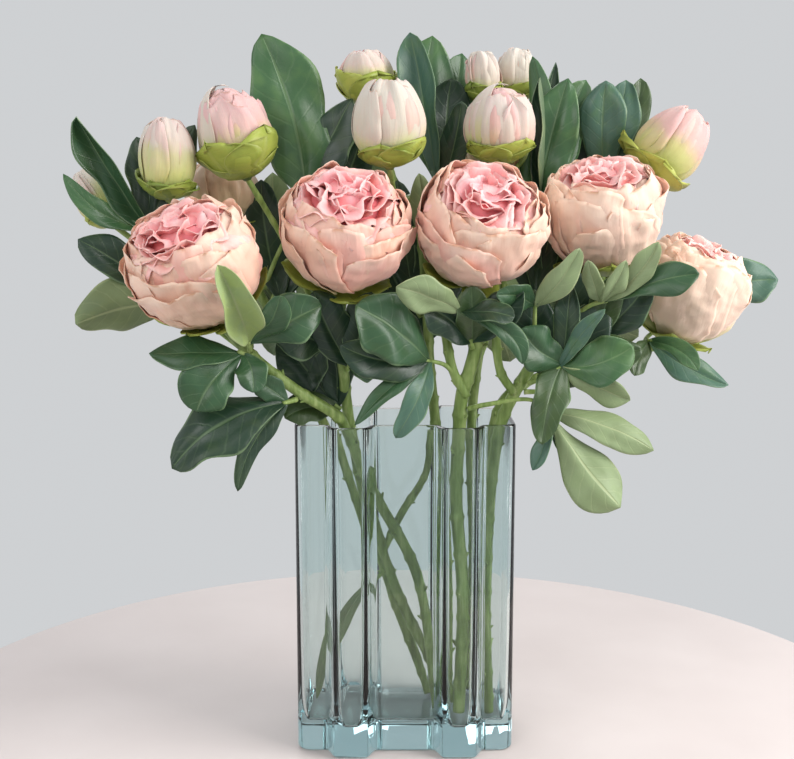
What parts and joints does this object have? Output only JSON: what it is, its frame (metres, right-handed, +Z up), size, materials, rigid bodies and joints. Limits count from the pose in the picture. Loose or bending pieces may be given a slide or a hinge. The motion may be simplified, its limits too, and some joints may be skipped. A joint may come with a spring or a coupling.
{
  "type": "flower arrangement",
  "caption": "Pink artificial peonies, buds and leaves standing in a fluted oblong clear glass vase.",
  "frame": {"origin": "centre of the flat underside of the vase", "axes": "+Z up, -Y towards the front of the arrangement, X along the vase's long side"},
  "size_m": [0.5515, 0.2551, 0.5401],
  "materials": {
    "glass": "clear pressed glass with an aqua tint, polished",
    "stem_green": "olive green moulded plastic over wire, satin, with nubs and nodes",
    "petal_peach": "thin peach and cream polyester petal, matte, edges slightly browned",
    "petal_pink": "thin rose pink polyester petal, matte, ruffled",
    "bud_cream": "cream to pale pink polyester bud petals, with lime green calyx",
    "leaf_green": "coated polyester leaf, dark blue-green above and olive below, soft gloss"
  },
  "bodies": {
    "root": {"bloom_1_guard": "petal_peach", "bloom_1_heart": "petal_pink", "bloom_2_guard": "petal_peach", "bloom_2_heart": "petal_pink", "bloom_3_guard": "petal_peach", "bloom_3_heart": "petal_pink", "bloom_4_guard": "petal_peach", "bloom_4_heart": "petal_pink", "bloom_5_guard": "petal_peach", "bloom_5_heart": "petal_pink", "bloom_6": "petal_peach", "bloom_7": "petal_peach", "bud_1": "bud_cream", "bud_2": "bud_cream", "bud_3": "bud_cream", "bud_4": "bud_cream", "bud_5": "bud_cream", "bud_6": "bud_cream", "bud_7": "bud_cream", "bud_8": "bud_cream", "bud_9": "bud_cream", "bud_stalk_1": "stem_green", "bud_stalk_2": "stem_green", "bud_stalk_3": "stem_green", "bud_stalk_4": "stem_green", "bud_stalk_5": "stem_green", "bud_stalk_6": "stem_green", "bud_stalk_7": "stem_green", "bud_stalk_8": "stem_green", "leaf_back_left_tall": "leaf_green", "leaf_back_middle_tall": "leaf_green", "leaf_back_right_tall": "leaf_green", "leaf_between_blooms": "leaf_green", "leaf_centre_front": "leaf_green", "leaf_centre_left": "leaf_green", "leaf_centre_right": "leaf_green", "leaf_far_right": "leaf_green", "leaf_in_vase": "leaf_green", "leaf_left_high": "leaf_green", "leaf_left_low": "leaf_green", "leaf_left_middle": "leaf_green", "leaf_left_rim": "leaf_green", "leaf_rear_left": "leaf_green", "leaf_rear_right": "leaf_green", "leaf_right_cluster": "leaf_green", "leaf_right_hanging": "leaf_green", "leaf_right_low": "leaf_green", "leaf_right_tall": "leaf_green", "leaf_under_first_bloom": "leaf_green", "leaf_under_fourth_bloom": "leaf_green", "leaf_under_third_bloom": "leaf_green", "stem_1": "stem_green", "stem_2": "stem_green", "stem_3": "stem_green", "stem_4": "stem_green", "stem_5": "stem_green", "stem_6": "stem_green", "stem_7": "stem_green", "stem_8": "stem_green", "vase": "glass"}
  },
  "joints": []
}
